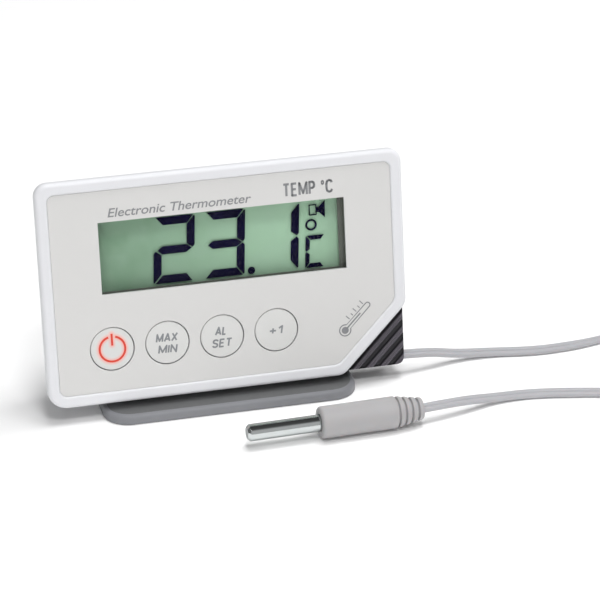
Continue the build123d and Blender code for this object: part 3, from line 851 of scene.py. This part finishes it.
def key_with_painted_glow():
    """The power key's plastic, with a red glow round the sign painted into its colour; it gives no light."""
    # Painted glow: a red halo in the base colour round the power sign.
    painted_glow, painted_glow_near, painted_glow_far, painted_glow_share = (0.90, 0.40, 0.34, 1), 0.2, 1.35, 0.75
    bar_middle, bar_half = 2.9, 1.6
    material, tree, shader = new_material("key_painted_glow", Specular_IOR_Level=0.45, Roughness=0.46)
    centre = key_centres["power_key"]
    world_centre = HOUSING @ Vector((centre.x, centre.y, 0))
    across = along_axis(tree, world_centre, right)
    up = along_axis(tree, world_centre, upward)
    across_squared = maths(tree, "MULTIPLY", across, across)
    distance = maths(tree, "SQRT", maths(tree, "ADD", across_squared, maths(tree, "MULTIPLY", up, up)))
    from_ring = maths(tree, "ABSOLUTE", maths(tree, "SUBTRACT", distance, power_ring))
    over_bar = maths(tree, "ABSOLUTE", maths(tree, "SUBTRACT", up, bar_middle))
    past_bar = maths(tree, "MAXIMUM", maths(tree, "SUBTRACT", over_bar, bar_half), 0.0)
    past_squared = maths(tree, "MULTIPLY", past_bar, past_bar)
    from_bar = maths(tree, "SQRT", maths(tree, "ADD", past_squared, across_squared))
    nearest = maths(tree, "MINIMUM", from_ring, from_bar)
    fade = smooth_step(tree, nearest, painted_glow_near, painted_glow_far, painted_glow_share, 0.0)
    colour = mixed(tree, fade, (*key_colour, 1), painted_glow)
    tree.links.new(colour, shader.inputs["Base Color"])
    bumped(tree, shader, [(grain(tree, 0.25), 0.003)])
    return material


# The power key's finish, with its painted glow.
key_painted_glow = key_with_painted_glow()
for key_body, key_node in key_nodes.items():
    centre = key_centres[key_body]
    if key_body == "power_key":
        cap_finish, mark, mark_ink = key_painted_glow, power_sign(), power_red
    else:
        cap_finish, mark, mark_ink = key_grey, key_legend(legends[key_body]), key_print
    piece(key_node + "_cap", key_shape(centre), HOUSING, key_body, cap_finish,
          (key_node,))
    piece(key_node + "_print", on_key(mark, centre), HOUSING, key_body, mark_ink)

# ---------------------------------------------------------------- ribbed corner block

block_low, block_high = extent("corner_block")
rib_pitch = 3.1
rib_first = 2.75
rib_width = 1.75
rib_height = 0.85
block_corner = 2.5
cut_middle = Vector((half_width - corner_cut / 2, -half_height + corner_cut / 2))
away = Vector((1, -1)).normalized()


def ribbed_plastic():
    """Black plastic with painted shade in the grooves of the face and a painted highlight on its crests, and even
    on the other sides.
    """
    # The crest colour is a painted highlight on the ribs and the groove colour is painted shade; the side colour
    # is the plastic's own.
    crest, groove_painted_shade = (0.105, 0.095, 0.112, 1), (0.008, 0.007, 0.010, 1)
    sides = (0.040, 0.036, 0.042, 1)
    crest_share, groove_share, even_below, ribbed_above = 0.62, 1.05, 1.8, 1.0
    material, tree, shader = new_material("ribbed_black", Specular_IOR_Level=0.5, Roughness=0.4)
    origin = HOUSING @ Vector((*cut_middle, 0))
    direction = (HOUSING.to_3x3() @ Vector((*away, 0))).normalized()
    from_cut = along_axis(tree, origin, direction)
    from_crest = maths(tree, "PINGPONG", maths(tree, "SUBTRACT", from_cut, rib_first), rib_pitch / 2)
    half = rib_width / 2
    groove_shade_share = smooth_step(tree, from_crest, crest_share * half, groove_share * half, 0.0, 1.0)
    off_face = along_axis(tree, origin, outward)
    near_face = smooth_step(tree, off_face, block_high.z - even_below, block_high.z - ribbed_above,
                            0.0, 1.0)
    # Painted highlight on the crests and painted shade in the grooves, only on the face.
    tree.links.new(mixed(tree, near_face, sides, mixed(tree, groove_shade_share, crest, groove_painted_shade)),
                   shader.inputs["Base Color"])
    bumped(tree, shader, [(grain(tree, 0.3), 0.006)])
    return material


def corner_block():
    """Ribs parallel to the cut corner, each with two fine ridges, over a solid wedge."""
    side = Vector((1, 1)).normalized()
    apex = (Vector((block_high.x, block_low.y)) - cut_middle).dot(away)
    rounding = apex - block_corner * math.sqrt(2)
    tangent = rounding + block_corner / math.sqrt(2)
    start = -2.2
    end = rounding + block_corner
    row_step = 0.09
    last_rows = 0.01  # short of the very end, where the block would have no length
    flat_share, fade, ridge, soft_edge = 0.86, 0.32, 0.3, 0.3

    def half_length(s):
        if s < tangent:
            return apex - s
        return math.sqrt(max(block_corner ** 2 - (s - rounding) ** 2, 0.0))

    def height(s):
        """Surface height over the groove floor, at a distance from the cut."""
        offset = (s - rib_first + rib_pitch / 2) % rib_pitch - rib_pitch / 2
        near = abs(offset) / (rib_width / 2)
        if near > flat_share + fade:
            return 0.0
        if near > flat_share:
            return (rib_height - ridge) * 0.5 * (1 + math.cos(math.pi * (near - flat_share) / fade))
        return rib_height - ridge * (0.5 + 0.5 * math.cos(2 * math.pi * near / flat_share))

    top = block_high.z
    edge_out = top - rib_height / 2
    steps = int((end - start) / row_step)
    shape = bmesh.new()
    rows = []
    for i in range(steps + 1):
        s = start + (end - start) * i / steps
        half = half_length(min(s, end - last_rows))
        out = top - rib_height + height(s)
        middle = cut_middle + away * s
        flat = max(half - soft_edge, 0)
        spans = [(-half, edge_out), (-flat, out), (flat, out), (half, edge_out)]
        row = [shape.verts.new((*(middle - side * half), block_low.z))]
        row += [shape.verts.new((*(middle + side * t), rise)) for t, rise in spans]
        row.append(shape.verts.new((*(middle + side * half), block_low.z)))
        rows.append(row)
    for row, following in zip(rows, rows[1:]):
        for i in range(len(row) - 1):
            shape.faces.new((row[i], row[i + 1], following[i + 1], following[i]))
        shape.faces.new((row[-1], row[0], following[0], following[-1]))
    shape.faces.new(rows[0])
    shape.faces.new(reversed(rows[-1]))
    return shape


piece("ribbed_corner", corner_block(), HOUSING, "housing", ribbed_plastic(),
      ("corner_block",), crease=50)

# ---------------------------------------------------------------- stand

stand_low, stand_high = (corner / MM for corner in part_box("stand"))
stand_rim = 1.5
panel_sunk = 0.2
panel_rise = 0.06
plate_top = 3.0
stand_corner = 8.0
panel_x = stand_high.x - stand_rim
panel_y = (stand_high.y - stand_low.y) / 2 - stand_rim
panel_outline = rounded([(-panel_x, -panel_y), (panel_x, -panel_y), (panel_x, panel_y),
                         (-panel_x, panel_y)], [stand_corner - stand_rim] * 4)
# A darker sheet over the stand's top, standing in for the housing's shadow on it: painted shade.
panel = prism(panel_outline, plate_top - panel_sunk, plate_top + panel_rise)
piece("stand_top_shade_sheet", panel, WORLD, "stand", stand_top_painted_shade)

# ---------------------------------------------------------------- probe

tube_radius = mounts["probe_stem"]["dims"]["r_mm"]
tube_start = reach("probe_tube", along)[0] - handle_start


def handle_profile():
    """Soft handle: rounded mouth round the tube, plain grip, then ribs that taper to the lead."""
    plain = 23.0
    ribs = 4
    rib_length = (handle_length - plain) / ribs
    first_step, step, groove_depth, soft = 0.22, 0.36, 0.9, 0.3
    mouth, depth, mouth_round = tube_radius + 0.06, 2.0, 0.35
    edge = 0.9
    points = [(depth, 0), (depth, mouth), (mouth_round, mouth)]
    points += arc((mouth_round, mouth + mouth_round), mouth_round, 270, 180, 4)
    points += arc((edge, handle_radius - edge), edge, 180, 90, 8)
    points.append((plain - 0.35, handle_radius))
    for i in range(ribs):
        start = plain + i * rib_length
        crest = handle_radius - first_step - step * i
        groove = crest - groove_depth
        points += [(start - 0.12, crest + 0.12), (start + 0.02, groove + 0.2), (start + 0.15, groove),
                   (start + 0.42, groove), (start + 0.55, groove + 0.15)]
        points += arc((start + 0.6 + soft, crest - soft), soft, 180, 90, 4)
        points.append((start + rib_length * 0.6, crest))
        points += arc((start + rib_length - 0.3 - soft, crest - 0.1 - soft), soft, 90, 40, 3)
    last = handle_radius - first_step - step * (ribs - 1)
    end_round, outlet, outlet_depth = 0.6, 1.6, 0.5
    points += arc((handle_length - end_round, last - 0.7), end_round, 60, 0, 5)
    points += [(handle_length, outlet), (handle_length - outlet_depth, outlet - 0.1),
               (handle_length - outlet_depth, 0)]
    return points


piece("handle_moulding", lathe(handle_profile(), 96), PROBE, "housing", handle_grey,
      ("probe_handle",), crease=60)

tube_bevel = 0.75
tip_round = 0.12
bevel_round = 0.2
tube_inside = 1.9
tip_radius = tube_radius - tube_bevel - tip_round
tip_profile = [(tube_start, 0), (tube_start, tip_radius)]
tip_profile += arc((tube_start + tip_round, tip_radius), tip_round, 180, 140, 3)
tip_profile += arc((tube_start + tube_bevel + bevel_round / 2, tube_radius - bevel_round),
                   bevel_round, 130, 90, 4)
tip_profile += [(tube_inside, tube_radius), (tube_inside, 0)]
piece("polished_tube", lathe(tip_profile, 128), PROBE, "housing", probe_steel,
      ("probe_tube",))

# ---------------------------------------------------------------- lead and its put-away coil

lead_width = 2.9
lead_thickness = 1.75
lead_tilt = math.radians(40)
level_within = 30  # of the coil's middle; over the next tilt_over millimetres the lead leans
tilt_over = 15
layer_gap = 0.05
free_lift = 0.02
table_rest = lead_thickness / 2 + layer_gap
coil_low, coil_high = (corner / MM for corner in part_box("lead_coil"))
coil_centre = (coil_low + coil_high) / 2
coil_outer = (coil_high.x - coil_low.x) / 2 - lead_width / 2
coil_turns = 3.75
turn_points = 16
handle_tip = PROBE @ Vector((handle_length, 0, 0)) / MM


def eased(share):
    """A share held between 0 and 1, leaving the one and reaching the other gently."""
    share = min(max(share, 0), 1)
    return share ** 2 * (3 - 2 * share)


def tilt_at(x, y):
    """How far the flat lead leans to the front: not at all in the coil, fully where it lies free."""
    distance = math.hypot(x - coil_centre.x, y - coil_centre.y)
    return lead_tilt * eased((distance - level_within) / tilt_over)


def on_table(x, y):
    """A point of the lead's middle line where the lead lies on the table."""
    raised = (lead_width - lead_thickness) / 2 * math.sin(tilt_at(x, y))
    return x, y, table_rest + raised + free_lift


# Points that steer the lead from the grommet to the coil, and from the coil to the handle.
out_route = [
    (52.0, -8.0, 6.4), (63.0, -6.9, 5.6), (72.0, -4.6, 2.6), on_table(84.0, -4.0),
    on_table(97.0, -6.6), on_table(110.0, -5.9), on_table(122.0, -3.0), on_table(134.0, 0.0),
]
return_route = [
    (134.0, -42.4, 1.5), on_table(122.0, -40.4), on_table(110.0, -37.6), on_table(98.0, -34.6),
    on_table(86.0, -32.4), (75.0, -33.2, 1.8), (64.5, -37.0, 4.3), tuple(handle_tip),
]


def coil_points():
    """Turns that wind in on the table, step up, and wind out again on top of them."""
    points = []
    steps = int(coil_turns * turn_points)
    rise = lead_thickness + layer_gap
    climb = turn_points / 2
    for step in range(2 * steps + 1):
        inside = 1 - abs(step / steps - 1)
        climbed = eased((step - steps + climb / 2) / climb)
        radius = coil_outer - lead_width * coil_turns * inside
        angle = math.pi / 2 - 2 * math.pi * step / turn_points
        points.append((coil_centre.x + radius * math.cos(angle),
                       coil_centre.y + radius * math.sin(angle),
                       table_rest + rise * climbed))
    return points


def smooth_line(points):
    """Points along the NURBS line that these points control, in millimetres."""
    curve = bpy.data.curves.new("line", "CURVE")
    curve.dimensions = "3D"
    curve.resolution_u = 6
    spline = curve.splines.new("NURBS")
    spline.points.add(len(points) - 1)
    for point, place in zip(spline.points, points):
        point.co = (*place, 1)
    spline.order_u = 3
    spline.use_endpoint_u = True
    carrier = bpy.data.objects.new("line", curve)
    bpy.context.scene.collection.objects.link(carrier)
    line = [vertex.co.copy() for vertex in bpy.data.meshes.new_from_object(carrier).vertices]
    bpy.data.objects.remove(carrier)
    return line


def twin_section():
    """Section of a flat twin lead: two round cores joined side by side."""
    core = lead_thickness / 2
    centre = lead_width / 2 - core
    dip = 49  # degrees off the level at which the two cores' circles meet
    right_half = arc((centre, 0), core, dip - 180, 180 - dip, 18)
    left_half = arc((-centre, 0), core, dip, 360 - dip, 18)
    return right_half + left_half


def swept(section, line):
    """A section carried along a line, its flat side level or leaning to the front."""
    loops = []
    for i, place in enumerate(line):
        ahead = line[min(i + 1, len(line) - 1)] - line[max(i - 1, 0)]
        side = ahead.cross(Vector((0, 0, 1))).normalized()
        top = side.cross(ahead).normalized()
        tilt = math.copysign(tilt_at(place.x, place.y), -side.y)
        side, top = (side * math.cos(tilt) - top * math.sin(tilt),
                     top * math.cos(tilt) + side * math.sin(tilt))
        loops.append([place + side * x + top * y for x, y in section])
    return loft(loops)


lead_line = smooth_line(out_route + coil_points() + return_route)
lead = piece("twin_lead", swept(twin_section(), lead_line), WORLD, "housing", lead_grey,
             ("lead_out", "lead_return", "lead_coil"))

# ---------------------------------------------------------------- floor and light

floor_size = 6.0
bpy.ops.mesh.primitive_plane_add(size=floor_size, location=(0, 0, 0))
floor = bpy.context.object
floor.name = "floor"
floor.data.materials.append(new_material("floor_white", Base_Color=grey(0.97), Roughness=0.9,
                                         Specular_IOR_Level=0.0)[0])


def lamp(name, turn, height, distance, size, power, mirrored=True):
    """A square soft light, placed by its angles right of and above the object, in degrees.

    One that isn't mirrored lights the surfaces but isn't seen in the shiny ones.
    """
    light = bpy.data.lights.new(name, "AREA")
    light.size = size
    light.energy = power
    made = bpy.data.objects.new(name, light)
    turn, height = math.radians(turn), math.radians(height)
    subject = Vector((0.02, -0.01, 0.02))
    towards = Vector((math.sin(turn) * math.cos(height), -math.cos(turn) * math.cos(height),
                      math.sin(height)))
    made.location = subject + towards * distance
    made.rotation_euler = towards.to_track_quat("Z", "Y").to_euler()
    made.visible_glossy = mirrored
    bpy.context.scene.collection.objects.link(made)


lamp("overhead", 95, 83, 1.3, 0.6, 10.4, mirrored=False)
lamp("side", 108, 45, 1.2, 0.5, 4.0, mirrored=False)
lamp("front", -2, 60, 1.4, 0.3, 5.4)
lamp("fill", -25, 6, 1.2, 0.5, 2.5, mirrored=False)

world = bpy.data.worlds.new("studio")
bpy.context.scene.world = world
world.use_nodes = True
sky = world.node_tree
view = node(sky, "TexCoord")
aloft = node(sky, "SeparateXYZ", Vector=view.outputs["Generated"])
low_sky = smooth_step(sky, aloft.outputs["Z"], 0.62, 0.85, 1.0, 0.4)
front_sky = smooth_step(sky, aloft.outputs["Y"], -0.75, -0.3, 1.0, 0.3)
sky.links.new(maths(sky, "MULTIPLY", low_sky, front_sky), sky.nodes["Background"].inputs["Color"])
sky.nodes["Background"].inputs["Strength"].default_value = 0.55
bpy.context.scene.view_settings.view_transform = "Standard"
